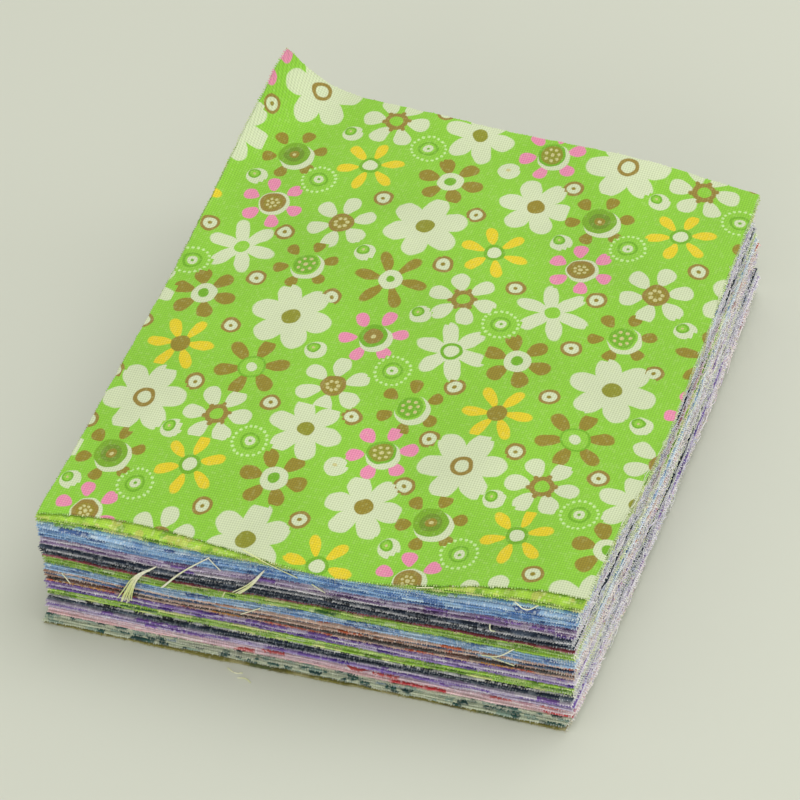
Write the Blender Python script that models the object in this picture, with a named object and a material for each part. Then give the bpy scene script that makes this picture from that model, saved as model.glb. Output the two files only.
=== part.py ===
"""A bundle of raw-cut cotton print squares, stacked flat, with the upper ones curled up at one corner.

Metres, +Z up. X runs along the front edge to the right and Y towards the back. The origin is the middle of
the bundle's footprint, on the surface that it lies on.
"""

import math

import bpy
import numpy as np

MM = 0.001

# Each solid is one square of the bundle, and stands for the two or three real squares at its height.
SHEET_THICKNESS = 1.03 * MM
SHEET_GAP = 0.30 * MM
PITCH = SHEET_THICKNESS + SHEET_GAP

# The corners of the lowest and of the highest square, seen from above. The stack leans a little
# to the front and left, and no square is cut quite true.
CORNERS = {
    "lowest": {
        "front_left": (-50.8, -55.0),
        "front_right": (47.3, -54.1),
        "back_right": (46.7, 53.2),
        "back_left": (-50.4, 54.0),
    },
    "highest": {
        "front_left": (-47.2, -52.1),
        "front_right": (50.4, -49.3),
        "back_right": (49.0, 52.0),
        "back_left": (-46.8, 55.3),
    },
}

MIDDLE = (0.08, -0.19)  # of the whole bundle's footprint in those coordinates, which becomes the origin

# From the bottom up. Left, right, front and back say how far each cut edge lies outside the leaning
# stack, and stray how far the front edge wanders from straight, in mm. Phase shifts that, in turns.
COLUMNS = ("name", "cloth", "left", "right", "front", "back", "stray", "phase")
SQUARES = (
    ("square_01_mint", "mint", 0.1, -0.5, 0.5, 0.4, 0.7, 0.88),
    ("square_02_mint", "mint", -0.3, 0.6, 0.3, -0.5, 0.5, 0.82),
    ("square_03_pink", "pink", -0.8, 0.2, -0.1, 0.6, 0.25, 0.76),
    ("square_04_lilac", "lilac", -1.0, 1.0, 0.2, -0.2, 0.35, 0.14),
    ("square_05_navy", "navy", -1.1, 0.2, -0.1, 0.8, 0.2, 0.52),
    ("square_06_lime", "lime", -1.1, 0.1, 0.3, -0.6, 0.3, 0.9),
    ("square_07_purple", "purple", -1.1, 0.1, -0.2, 0.3, 0.25, 0.28),
    ("square_08_grey", "grey", -1.0, 0.3, 0.1, 0.9, 0.2, 0.66),
    ("square_09_peach", "peach", -0.9, 0.4, 0.3, -0.4, 0.35, 0.04),
    ("square_10_sky", "sky", -0.8, 0.8, 0.1, 0.5, 0.3, 0.42),
    ("square_11_sky", "sky", -0.7, 0.0, -0.2, -0.7, 0.25, 0.8),
    ("square_12_lime", "lime", -0.5, -0.3, 0.2, 0.2, 0.3, 0.18),
    ("square_13_red", "dark_red", -0.2, -0.6, -0.1, 0.7, 0.2, 0.56),
    ("square_14_navy", "navy", 0.0, -0.7, 0.1, -0.3, 0.35, 0.94),
    ("square_15_purple", "purple", -0.1, -0.6, -0.2, 0.4, 0.25, 0.32),
    ("square_16_blue", "blue", -0.2, -0.6, 0.2, -0.5, 0.3, 0.7),
    ("square_17_pale_blue", "pale_blue", -0.2, -0.7, -0.1, 0.3, 0.4, 0.08),
    ("square_18_leaf", "leaf", -0.1, -0.3, -0.1, -0.3, 0.8, 0.7),
    ("square_19_daisy", "daisy", 0.0, 0.0, -0.5, 0.0, 2.1, 0.65),
)
COUNT = len(SQUARES)

# Colours of the cloths, as sRGB.
CLOTH_COLOURS = {
    "mint": "B9C2AE",
    "pink": "C9A9B4",
    "navy": "1E2A3C",
    "lime": "8DC93F",
    "purple": "6B4BA0",
    "grey": "A8A5AC",
    "peach": "C9A594",
    "sky": "8FAFD0",
    "dark_red": "7A3038",
    "lilac": "B5A8C0",
    "blue": "4F78BE",
    "pale_blue": "7FA6D0",
    "leaf": "7FAE52",
    "daisy": "8DC93F",
}
CLOTH_ROUGHNESS = 0.9

# How the cloth lies. Heights in mm, reached by the highest square.
SWELL_HEIGHT = 7.1 * MM  # the slow rise of the whole stack towards its back left corner
SWELL_POWER = 2.2
CURL_HEIGHT = 9.5 * MM  # the upper squares' corner, curled up beyond the crease, at the reach
CURL_REACH = 10.0 * MM
CURL_SOFTNESS = 4.1 * MM
CURL_DRAW = 4.0 * MM  # how far the curl draws the cloth in at the reach, so that it doesn't stretch
CREASE_FROM = (-35.0 * MM, 54.5 * MM)  # on the back edge
CREASE_TO = (-46.7 * MM, 22.6 * MM)  # on the left edge
ROLL_HEIGHT = 0.9 * MM  # the strip along the back edge, rolled up a little
ROLL_WIDTH = 6.0 * MM
ROLL_POWER = 4  # how fast the roll fades from square to square below the top one
FRONT_RIGHT_RISE = 1.2 * MM
RISE_REACH = 45.0 * MM
WAVE_HEIGHT = 0.35 * MM  # slack waves along the edges
WAVE_LENGTHS = (61.0 * MM, 37.0 * MM)
SHORT_WAVE_SHARE = 0.5
STRAY_LENGTH = 75.0 * MM  # from one outward bulge of a cut edge to the next
STRAY_POWER = 6  # how fast the front edge's straying fades inwards
SIDE_STRAY = 0.25 * MM  # how far the other three edges wander
SIDE_BOW = 0.9 * MM  # how far the right side bulges outwards at its middle
LEFT_BOW = 1.2 * MM  # how far the highest square's left side lies inwards at its middle

# How much of the lift each square takes: (level from 0 to 1, share). The last few open up like pages.
LIFT_SHARES = ((0.0, 0.0), (0.35, 0.12), (0.70, 0.42), (0.84, 0.62), (0.90, 0.74), (0.95, 0.87), (1.0, 1.0))

# The mesh is finer towards the curled corner, and on the squares that curl most.
COARSE_CELLS = 9
FINE_CELLS = 13
FINE_FROM_LEVEL = 0.8
STATION_POWER = 1.35
SMOOTH_SHADED_UNDER = math.radians(40)  # the cut edges stay sharp


def clear_scene():
    for obj in list(bpy.data.objects):
        bpy.data.objects.remove(obj, do_unlink=True)


def linear_colour(hex_code):
    """The linear RGBA of an sRGB hex code."""
    channels = [int(hex_code[i : i + 2], 16) / 255 for i in (0, 2, 4)]
    return [c / 12.92 if c <= 0.04045 else ((c + 0.055) / 1.055) ** 2.4 for c in channels] + [1.0]


def cloth_material(cloth):
    name = "cotton_" + cloth
    found = bpy.data.materials.get(name)
    if found:
        return found
    material = bpy.data.materials.new(name)
    material.use_nodes = True
    shader = material.node_tree.nodes["Principled BSDF"]
    shader.inputs["Base Color"].default_value = linear_colour(CLOTH_COLOURS[cloth])
    shader.inputs["Roughness"].default_value = CLOTH_ROUGHNESS
    shader.inputs["Metallic"].default_value = 0.0
    return material


def eased(t, power=SWELL_POWER):
    """0 at 0 and 1 at 1, rising fast at first."""
    return 1 - (1 - np.clip(t, 0, 1)) ** power


def smooth(t):
    t = np.clip(t, 0, 1)
    return t * t * (3 - 2 * t)


def lift_share(level):
    levels, shares = zip(*LIFT_SHARES)
    return float(np.interp(level, levels, shares))


def crease_direction():
    """The unit vector along the crease of the curled corner, from the left edge to the back edge."""
    along = np.subtract(CREASE_FROM, CREASE_TO)
    return along / np.hypot(*along)


def past_crease(x, y):
    """How far a point lies beyond the crease."""
    along_x, along_y = crease_direction()
    return (y - CREASE_TO[1]) * along_x - (x - CREASE_TO[0]) * along_y


def softened(distance):
    """Near 0 before the crease and straight after it, with a soft bend between."""
    return (distance + np.sqrt(distance**2 + CURL_SOFTNESS**2)) / 2


def lift(x, y, level):
    """How far cloth at this place and level lies above its flat height."""
    far = CORNERS["highest"]
    left = far["back_left"][0] * MM
    right = far["front_right"][0] * MM
    front = far["front_left"][1] * MM
    back = far["back_right"][1] * MM
    to_left = (right - x) / (right - left)
    to_back = (y - front) / (back - front)
    swell = SWELL_HEIGHT * eased(to_left) * eased(to_back)
    bend = softened(past_crease(x, y)) - softened(-CURL_REACH)
    curl = CURL_HEIGHT * bend / (softened(CURL_REACH) - softened(-CURL_REACH))
    roll = ROLL_HEIGHT * smooth((y - back + ROLL_WIDTH) / ROLL_WIDTH)
    rise = FRONT_RIGHT_RISE * smooth(1 - np.hypot(x - right, y - front) / RISE_REACH)
    long_wave, short_wave = WAVE_LENGTHS
    short = SHORT_WAVE_SHARE * np.sin(math.tau * (x - y) / short_wave)
    wave = WAVE_HEIGHT * (np.sin(math.tau * (x + y) / long_wave) + short)
    share = lift_share(level)
    return share * (swell + curl) + level * (rise + wave) + level**ROLL_POWER * roll


def drawn_in(x, y, level):
    """Where cloth lies, seen from above, once the curl has drawn the corner in."""
    along_x, along_y = crease_direction()
    draw = lift_share(level) * CURL_DRAW * (softened(past_crease(x, y)) / CURL_REACH) ** 2
    return x + draw * along_y, y - draw * along_x


def outline(row, level):
    """The four corners of a square, front left first and going round to the right, in metres."""
    low, high = CORNERS["lowest"], CORNERS["highest"]
    found = {}
    for corner in low:
        x, y = (a + (b - a) * level for a, b in zip(low[corner], high[corner]))
        x += -row["left"] if corner.endswith("left") else row["right"]
        y += -row["front"] if corner.startswith("front") else row["back"]
        found[corner] = np.array((x, y)) * MM
    return found


def stations(cells):
    """Two rows of steps from 0 to 1, across and back, closer together towards the left and the back."""
    even = np.linspace(0, 1, cells + 1)
    return even**STATION_POWER, 1 - (1 - even) ** STATION_POWER


def plan_points(corners, cells, level, stray, phase):
    """The grid of a square laid flat, with its sides bowed and its cut edges straying a little."""
    across, back = stations(cells)
    u, v = np.meshgrid(across, back)
    front_edge = corners["front_left"] + (corners["front_right"] - corners["front_left"]) * u[..., None]
    back_edge = corners["back_left"] + (corners["back_right"] - corners["back_left"]) * u[..., None]
    points = front_edge + (back_edge - front_edge) * v[..., None]
    x, y = points[..., 0], points[..., 1]
    to_side = 2 * u - 1
    to_end = 2 * v - 1
    bow = (SIDE_BOW * u + LEFT_BOW * level * (1 - u)) * (1 - to_end**2)
    wander_x = SIDE_STRAY * np.sin(math.tau * (y / STRAY_LENGTH + 2 * phase)) * to_side**2
    reach = SIDE_STRAY * v**2 + stray * (1 - v) ** STRAY_POWER
    wander_y = reach * np.sin(math.tau * (x / STRAY_LENGTH + phase))
    return x + bow + wander_x, y + wander_y


def surface_normals(points):
    """Unit normals of a grid of points, upwards."""
    across = np.gradient(points, axis=1)
    back = np.gradient(points, axis=0)
    normals = np.cross(across, back)
    return normals / np.linalg.norm(normals, axis=-1, keepdims=True)


def sheet_faces(rows, columns):
    """Faces of a closed sheet: rows by columns points below, then the same number above.

    Every cell is cut along the same diagonal, so that squares that lie on each other stay the gap apart.
    """
    above = rows * columns
    faces = []
    for i in range(rows - 1):
        for j in range(columns - 1):
            a = i * columns + j
            b, c, d = a + 1, a + columns + 1, a + columns
            faces += [(a, c, b), (a, d, c)]
            faces += [(a + above, b + above, c + above), (a + above, c + above, d + above)]
    rim = list(range(columns))
    rim += [i * columns + columns - 1 for i in range(1, rows)]
    rim += [(rows - 1) * columns + j for j in range(columns - 2, -1, -1)]
    rim += [i * columns for i in range(rows - 2, 0, -1)]
    for start, end in zip(rim, rim[1:] + rim[:1]):
        faces.append((start, end, end + above, start + above))
    return faces


def make_square(index):
    row = dict(zip(COLUMNS, SQUARES[index]))
    level = index / (COUNT - 1)
    cells = FINE_CELLS if level >= FINE_FROM_LEVEL else COARSE_CELLS
    x, y = plan_points(outline(row, level), cells, level, row["stray"] * MM, row["phase"])
    base = index * PITCH + lift(x, y, level)
    below = np.stack((*drawn_in(x, y, level), base), axis=-1) - (*np.multiply(MIDDLE, MM), 0)
    above = below + surface_normals(below) * SHEET_THICKNESS
    points = np.concatenate((below.reshape(-1, 3), above.reshape(-1, 3)))
    mesh = bpy.data.meshes.new(row["name"])
    mesh.from_pydata(points.tolist(), [], sheet_faces(*x.shape))
    mesh.shade_smooth()
    mesh.set_sharp_from_angle(angle=SMOOTH_SHADED_UNDER)
    obj = bpy.data.objects.new(row["name"], mesh)
    obj.data.materials.append(cloth_material(row["cloth"]))
    bpy.context.scene.collection.objects.link(obj)
    return obj


clear_scene()
for number in range(COUNT):
    make_square(number)
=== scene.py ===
"""Looks of a bundle of raw-cut cotton print squares, about fifty in a stack, the top one lime with daisies.

Sizes are in millimetres until a mesh is made. X runs along the front edge and Y towards the back.
"""

import math

import bpy
import numpy as np
from mathutils import Matrix, Vector


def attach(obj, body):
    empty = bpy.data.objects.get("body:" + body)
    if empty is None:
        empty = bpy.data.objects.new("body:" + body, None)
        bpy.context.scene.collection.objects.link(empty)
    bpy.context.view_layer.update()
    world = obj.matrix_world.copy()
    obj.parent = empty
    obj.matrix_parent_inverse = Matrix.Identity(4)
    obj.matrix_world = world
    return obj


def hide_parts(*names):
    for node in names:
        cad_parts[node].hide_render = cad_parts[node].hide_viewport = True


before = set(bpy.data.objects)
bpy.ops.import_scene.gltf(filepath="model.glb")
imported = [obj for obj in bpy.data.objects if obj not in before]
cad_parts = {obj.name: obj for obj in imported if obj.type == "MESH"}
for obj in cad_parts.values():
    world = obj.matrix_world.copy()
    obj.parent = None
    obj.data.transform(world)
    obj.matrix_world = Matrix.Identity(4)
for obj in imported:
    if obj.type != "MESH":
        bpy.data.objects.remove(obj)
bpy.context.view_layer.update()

# The plain squares. Forty-eight thin squares of quilting cotton, rotary cut and left raw, lie on each
# other. The upper ones swell and curl up at the back left corner. The solid at each one's height is hidden.

MM = 0.001
SQUARE_COUNT = 49
CLOTH_THICKNESS = 0.34
STACK_HEIGHT = 24.97
CLOTH_PITCH = (STACK_HEIGHT - CLOTH_THICKNESS) / (SQUARE_COUNT - 1)
SOLIDS = sorted(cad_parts)
SOLID_PITCH = 1.33
LEVEL_HEIGHT = SOLID_PITCH * (len(SOLIDS) - 1)

# Corners of the lowest and the highest square: the stack leans a little, and no square is cut quite true.
CORNERS = ("front_left", "front_right", "back_right", "back_left")
LOWEST = dict(zip(CORNERS, ((-50.8, -55.0), (47.3, -54.1), (46.7, 53.2), (-50.4, 54.0))))
HIGHEST = dict(zip(CORNERS, ((-47.2, -52.1), (50.4, -49.3), (49.0, 52.0), (-46.8, 55.3))))
MIDDLE = (0.08, -0.19)  # of the whole bundle's footprint in those coordinates, which becomes the origin

# How far the cut edges lie outside the leaning stack, from its bottom, 0, to its top, 1, how much the front
# ones wave, and how far each square's own left, right, front and back edge may lie off.
LEFT_OUTSET = ((0.0, -0.5), (0.06, -0.9), (0.15, -1.3), (0.35, -1.4), (0.6, -1.0), (0.75, -0.5), (1.0, 0.0))
RIGHT_OUTSET = (
    (0.0, -1.0), (0.06, -0.3), (0.16, 0.2), (0.3, -0.6), (0.5, -0.1), (0.7, -1.1), (0.9, -0.9), (1.0, 0.0),
)
FRONT_OUTSET = ((0.0, 0.5), (0.02, 0.15), (1.0, 0.1))
BACK_OUTSET = 0.1
FRONT_STRAY = ((0.0, 0.15), (0.9, 0.15), (0.97, 0.8), (1.0, 1.0))
OUTSET_JITTER = (0.2, 0.16, 0.12, 0.28)

# How the cloth lies. Heights are those that the highest square reaches.
SWELL_HEIGHT = 7.1
SWELL_LEFT = -46.8
SWELL_POWER = 2.2
CURL_HEIGHT = 9.5
CURL_REACH = 10.0
CURL_SOFTNESS = 4.1
CURL_DRAW = 4.0  # how far the curl draws the cloth in at the reach, so that it doesn't stretch
CREASE_FROM = (-35.0, 54.5)
CREASE_TO = (-46.7, 22.6)
ROLL_HEIGHT = 0.9
ROLL_WIDTH = 6.0
ROLL_POWER = 4
FRONT_RIGHT_RISE = 1.2
RISE_REACH = 45.0
WAVE_HEIGHT = 0.35
WAVE_LENGTHS = (61.0, 37.0)
STRAY_LENGTH = 75.0
STRAY_POWER = 6
SIDE_STRAY = 0.25
SIDE_BOW = 0.9
LEFT_BOW = 1.2
# The share of the swell and the curl that cloth at each level takes.
LIFT_SHARES = ((0.0, 0.0), (0.35, 0.12), (0.70, 0.42), (0.84, 0.62), (0.90, 0.74), (0.95, 0.87), (1.0, 1.0))

# Fine unevenness of each square's own: ripples up and down, which leave the gap to the next square, and
# the wandering of the cutter and of slipped threads along its edges.
RIPPLE_HEIGHT = 0.055
RIPPLE_LENGTHS = (31.0, 17.0, 9.0)
EDGE_WANDER = 0.12
WANDER_LENGTHS = (23.0, 11.0, 6.1, 3.7)
RIM_POWER = 8  # keeps the wander to the cloth near its edge
SHARP_FROM = math.radians(50)  # the cut edges stay crisp where the faces are shaded smooth


def at(table, level):
    """The value of a short table at a level."""
    places, values = zip(*table)
    return float(np.interp(level, places, values))


def eased(t):
    return 1 - (1 - np.clip(t, 0, 1)) ** SWELL_POWER


def smooth(t):
    t = np.clip(t, 0, 1)
    return t * t * (3 - 2 * t)


def crease_direction():
    along = np.subtract(CREASE_FROM, CREASE_TO)
    return along / np.hypot(*along)


def past_crease(x, y):
    """How far a point lies beyond the crease of the curled corner."""
    along_x, along_y = crease_direction()
    return (y - CREASE_TO[1]) * along_x - (x - CREASE_TO[0]) * along_y


def softened(distance):
    return (distance + np.sqrt(distance**2 + CURL_SOFTNESS**2)) / 2


def lift(x, y, level):
    """How far cloth at this place and level lies above its flat height."""
    left, right = SWELL_LEFT, HIGHEST["front_right"][0]
    front, back = HIGHEST["front_left"][1], HIGHEST["back_right"][1]
    swell = SWELL_HEIGHT * eased((right - x) / (right - left)) * eased((y - front) / (back - front))
    bend = softened(past_crease(x, y)) - softened(-CURL_REACH)
    curl = CURL_HEIGHT * bend / (softened(CURL_REACH) - softened(-CURL_REACH))
    roll = ROLL_HEIGHT * smooth((y - back + ROLL_WIDTH) / ROLL_WIDTH)
    rise = FRONT_RIGHT_RISE * smooth(1 - np.hypot(x - right, y - front) / RISE_REACH)
    wave = np.sin(math.tau * (x + y) / WAVE_LENGTHS[0]) + np.sin(math.tau * (x - y) / WAVE_LENGTHS[1]) / 2
    slow = level * (rise + WAVE_HEIGHT * wave) + level**ROLL_POWER * roll
    return at(LIFT_SHARES, level) * (swell + curl) + slow


def drawn_in(x, y, level):
    """Where cloth lies, seen from above, once the curl has drawn the corner in."""
    along_x, along_y = crease_direction()
    draw = at(LIFT_SHARES, level) * CURL_DRAW * (softened(past_crease(x, y)) / CURL_REACH) ** 2
    return x + draw * along_y, y - draw * along_x


def wander(along, seed):
    """The uneven line of a cut edge, mostly between -1 and 1."""
    rng = np.random.default_rng(seed)
    line = np.zeros_like(along)
    for length in WANDER_LENGTHS:
        line += np.sin(math.tau * (along / length + rng.random())) * rng.uniform(0.3, 1.0)
    return line / 2


def corners_at(level):
    """The corners of a square at a level, from the lowest square's to the highest one's."""
    return {k: np.array(LOWEST[k]) * (1 - level) + np.array(HIGHEST[k]) * level for k in CORNERS}


def square_plan(number, across, back, outsets, stray, phase):
    """The grid of a square laid flat. Outsets are for its left, right, front and back edges."""
    level = min(1.0, number * CLOTH_PITCH / LEVEL_HEIGHT)
    corner = corners_at(level)
    left, right, front, rear = outsets
    u, v = np.meshgrid(across, back)
    front_edge = corner["front_left"] + (corner["front_right"] - corner["front_left"]) * u[..., None]
    back_edge = corner["back_left"] + (corner["back_right"] - corner["back_left"]) * u[..., None]
    points = front_edge + (back_edge - front_edge) * v[..., None]
    x, y = points[..., 0], points[..., 1]
    x = x - left * (1 - u) + right * u
    y = y - front * (1 - v) + rear * v
    bow = (SIDE_BOW * u + LEFT_BOW * level * (1 - u)) * (1 - (2 * v - 1) ** 2)
    side_wave = SIDE_STRAY * np.sin(math.tau * (y / STRAY_LENGTH + 2 * phase)) * (2 * u - 1) ** 2
    reach = SIDE_STRAY * v**2 + stray * (1 - v) ** STRAY_POWER
    front_wave = reach * np.sin(math.tau * (x / STRAY_LENGTH + phase))
    right_rim, left_rim, back_rim, front_rim = (
        EDGE_WANDER * wander(line, number * 4 + i) * near**RIM_POWER
        for i, (line, near) in enumerate(((y, u), (y, 1 - u), (x, v), (x, 1 - v)))
    )
    return x + bow + side_wave + right_rim - left_rim, y + front_wave + back_rim - front_rim, level


def sheet_faces(rows, columns):
    """Quads of a closed sheet: rows by columns points below, then the same number above."""
    above = rows * columns
    lower = np.arange(above).reshape(rows, columns)
    a, b, c, d = (part.ravel() for part in (lower[:-1, :-1], lower[:-1, 1:], lower[1:, 1:], lower[1:, :-1]))
    rim = np.concatenate((lower[0, :-1], lower[:-1, -1], lower[-1, :0:-1], lower[:0:-1, 0]))
    following = np.roll(rim, -1)
    under = np.stack((a, d, c, b), axis=1)
    over = np.stack((a, b, c, d), axis=1) + above
    side = np.stack((rim, following, following + above, rim + above), axis=1)
    return np.concatenate((over, under, side)), rim


def add_object(name, data):
    obj = bpy.data.objects.new(name, data)
    bpy.context.scene.collection.objects.link(obj)
    return obj


def square_mesh(name, number, x, y, level, seed):
    """A closed thin sheet at its height in the stack, its lower rim marked for the thread ends."""
    rng = np.random.default_rng(seed)
    ripple = np.zeros_like(x)
    for length in RIPPLE_LENGTHS:
        turn = rng.uniform(0, math.tau)
        along = x * math.cos(turn) + y * math.sin(turn)
        ripple += np.sin(math.tau * along / length + rng.uniform(0, math.tau)) / len(RIPPLE_LENGTHS)
    ripple *= RIPPLE_HEIGHT if 0 < number < SQUARE_COUNT - 1 else 0.0
    base = number * CLOTH_PITCH + lift(x, y, level) + ripple
    below = np.stack((*drawn_in(x, y, level), base), axis=-1) - (*MIDDLE, 0)
    upwards = np.cross(np.gradient(below, axis=1), np.gradient(below, axis=0))
    upwards /= np.linalg.norm(upwards, axis=-1, keepdims=True)
    points = np.concatenate((below, below + upwards * CLOTH_THICKNESS)).reshape(-1, 3)
    faces, rim = sheet_faces(*x.shape)
    mesh = bpy.data.meshes.new(name)
    mesh.from_pydata((points * MM).tolist(), [], faces.tolist())
    mesh.shade_smooth()
    mesh.set_sharp_from_angle(angle=SHARP_FROM)
    on_rim = np.zeros(len(mesh.vertices), dtype=bool)
    on_rim[rim] = True
    ends = np.zeros(len(mesh.edges) * 2, dtype=np.int32)
    mesh.edges.foreach_get("vertices", ends)
    mark = mesh.attributes.new("rim", "BOOLEAN", "EDGE")
    mark.data.foreach_set("value", on_rim[ends.reshape(-1, 2)].all(axis=1))
    return add_object(name, mesh)


MATH, VECTOR, MIX, RANGE = "ShaderNodeMath", "ShaderNodeVectorMath", "ShaderNodeMix", "ShaderNodeMapRange"
NOISE, WHITE_NOISE, ATTRIBUTE = "ShaderNodeTexNoise", "ShaderNodeTexWhiteNoise", "ShaderNodeAttribute"
SEPARATE, COMBINE, RANDOM = "ShaderNodeSeparateXYZ", "ShaderNodeCombineXYZ", "FunctionNodeRandomValue"


def add_node(tree, kind, *inputs, **named):
    """A node with its inputs linked or set in order, where None keeps the default.

    Named values with a small first letter are the node's settings, and the others are inputs too. A node
    given as an input stands for its first output.
    """
    node = tree.nodes.new(kind)
    for key, value in named.items():
        if key[0].islower():
            setattr(node, key, value)
    shown = [socket for socket in node.inputs if socket.enabled]
    pairs = list(zip(shown, inputs))
    pairs += [(node.inputs[key.replace("_", " ")], value) for key, value in named.items() if key[0].isupper()]
    for socket, value in pairs:
        if isinstance(value, bpy.types.Node):
            value = next(output for output in value.outputs if output.enabled)
        if isinstance(value, bpy.types.NodeSocket):
            tree.links.new(value, socket)
        elif value is not None:
            socket.default_value = value
    return node


def linear(hex_code):
    """The linear RGBA of an sRGB hex code."""
    channels = [int(hex_code[i : i + 2], 16) / 255 for i in (0, 2, 4)]
    return [c / 12.92 if c <= 0.04045 else ((c + 0.055) / 1.055) ** 2.4 for c in channels] + [1.0]


def cotton_material(name):
    """A new material, its nodes, and the place on the cotton in mm."""
    material = bpy.data.materials.new(name)
    material.use_nodes = True
    tree = material.node_tree
    here = add_node(tree, "ShaderNodeTexCoord").outputs["Object"]
    return material, tree, add_node(tree, VECTOR, here, 1 / MM, operation="SCALE")


def patches(tree, place, scale, detail, spread, lowest=0.0, highest=1.0):
    """Soft patches that go from a lowest to a highest value within a spread of the noise's middle."""
    noise = add_node(tree, NOISE, place, scale, detail)
    return add_node(tree, RANGE, noise, 0.5 - spread, 0.5 + spread, lowest, highest)


SHADED = {"data_type": "RGBA", "blend_type": "MULTIPLY"}  # settings that darken or lighten a colour


def finish(tree, colour, height, strength, depth, settings):
    """A cotton's shader: its colour, the bump of its threads, whose depth is in mm, and its settings."""
    shader = tree.nodes["Principled BSDF"]
    bump = add_node(tree, "ShaderNodeBump", Strength=strength, Distance=depth * MM, Height=height)
    tree.links.new(colour.outputs[2], shader.inputs["Base Color"])
    tree.links.new(bump.outputs[0], shader.inputs["Normal"])
    for name, value in settings.items():
        shader.inputs[name].default_value = value


THREAD_PITCH = 0.45  # about 22 threads to the centimetre, as in quilting cotton


def weave(tree, place):
    """Plain weave at a place in mm: its height from 0 to 1, and a random value for each crossing."""
    wave = add_node(tree, VECTOR, place, math.pi / THREAD_PITCH, operation="SCALE")
    wave = add_node(tree, VECTOR, wave, operation="SINE")
    wave = add_node(tree, VECTOR, wave, operation="ABSOLUTE")
    height = add_node(tree, VECTOR, wave, (0.5, 0.5, 0.0), operation="DOT_PRODUCT")
    crossing = add_node(tree, VECTOR, place, 1 / THREAD_PITCH, operation="SCALE")
    crossing = add_node(tree, VECTOR, crossing, operation="FLOOR")
    return height, add_node(tree, WHITE_NOISE, crossing, noise_dimensions="3D")


# The colours of the frayed threads, most of them at the right side: where each starts, from 0 to 1.
FRAY_COLOURS = (
    (0.0, "E6E1EE"), (0.18, "F6F5F2"), (0.4, "D6D0E6"), (0.52, "F0F0EC"), (0.62, "B6BEE0"), (0.7, "E4EEB4"),
    (0.78, "F4F1EA"), (0.88, "AEA2D4"), (0.94, "E8CCCC"), (0.965, "D46C58"),
)
RIGHT_RIM_FROM = 44.0  # x in mm, beyond which the cut edges are frayed all over
RIM_FRAY = 0.86  # how much of those colours the cut edges take there
# From this square up, counted from 1, the cloth is less frayed and takes only this share of the colours.
LEAST_FRAYED_FROM, LEAST_FRAY = 47, 0.35
STREAKS = (0.0, 0.22, 2.6)  # changes of colour in a mm along x, y and z: long streaks on the right side
OWN_STREAK = 0.14  # how far a thread's colour may lie from its streak's

# Where bare thread shows: at the crossings above a share, at the ends of the threads, on the unprinted back
# of the cloth, and under the colours of the frayed threads.
BARE_FROM, BARE_END, BARE_BACK, BARE_FRAY = 0.72, 0.5, 0.45, 0.35
BETWEEN_THREADS, ON_THREADS = 0.76, 1.06  # painted shade between the threads and a little painted light on them, by the weave's height
FRAY_FILLS = 0.22  # how much less painted shade there is between the threads where they are frayed
WOVEN = {"Roughness": 0.88, "Specular IOR Level": 0.25, "Sheen Weight": 0.12, "Sheen Roughness": 0.5}


def finish_cotton(tree, colour, place, pale, worn):
    """Uneven threads over a printed colour, frayed ends, the cloth's paler back, painted shade between the
    threads, and the weave's bump.
    """
    height, random = weave(tree, place)
    bare = add_node(tree, RANGE, random, BARE_FROM, 1.0, 0.0, worn)
    strand, frayed, lot = (
        add_node(tree, ATTRIBUTE, attribute_name=name).outputs["Fac"] for name in ("strand", "fray", "lot")
    )
    end = add_node(tree, MATH, strand, BARE_END, operation="MULTIPLY")
    normal = add_node(tree, "ShaderNodeNewGeometry").outputs["Normal"]
    normal_x, _, normal_z = add_node(tree, SEPARATE, normal).outputs
    back = add_node(tree, RANGE, normal_z, -0.5, -0.8, 0.0, BARE_BACK)
    for share in (bare, end, back):
        colour = add_node(tree, MIX, share, colour, linear(pale), data_type="RGBA")

    at_right = add_node(tree, RANGE, normal_x, 0.4, 0.7, 0.0, 1.0)
    x = add_node(tree, SEPARATE, place).outputs[0]
    past = add_node(tree, RANGE, x, RIGHT_RIM_FROM, RIGHT_RIM_FROM + 1, 0.0, 1.0)
    rim = add_node(tree, MATH, at_right, past, operation="MULTIPLY")
    rim = add_node(tree, MATH, rim, RIM_FRAY, operation="MULTIPLY")
    frayed = add_node(tree, MATH, rim, frayed, operation="MAXIMUM")
    kept = add_node(tree, RANGE, lot, LEAST_FRAYED_FROM - 1, LEAST_FRAYED_FROM, 1.0, LEAST_FRAY)
    frayed = add_node(tree, MATH, frayed, kept, operation="MULTIPLY")
    streaks = add_node(tree, VECTOR, place, STREAKS, operation="MULTIPLY")
    streaks = patches(tree, streaks, 1.0, 2.0, 0.18)
    strand = add_node(tree, MATH, strand, OWN_STREAK, streaks, operation="MULTIPLY_ADD")
    strand = add_node(tree, MATH, strand, operation="FRACT")
    picked = add_node(tree, "ShaderNodeValToRGB", strand)
    ramp = picked.color_ramp
    ramp.interpolation = "CONSTANT"
    ramp.elements.remove(ramp.elements[1])
    for start, hex_code in FRAY_COLOURS:
        element = ramp.elements[0] if start == 0 else ramp.elements.new(start)
        element.color = linear(hex_code)
    picked = add_node(tree, MIX, BARE_FRAY, picked, linear(pale), data_type="RGBA")
    colour = add_node(tree, MIX, frayed, colour, picked, data_type="RGBA")

    # Painted shade between the threads and a little painted light on them, from the weave's height, with less
    # shade where the threads fray.
    darkest = add_node(tree, MATH, frayed, FRAY_FILLS, BETWEEN_THREADS, operation="MULTIPLY_ADD")
    shade = add_node(tree, RANGE, height, 0.1, 0.9, darkest, ON_THREADS)
    colour = add_node(tree, MIX, 1.0, colour, shade, **SHADED)
    finish(tree, colour, height, 0.55, 0.12, WOVEN)


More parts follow.
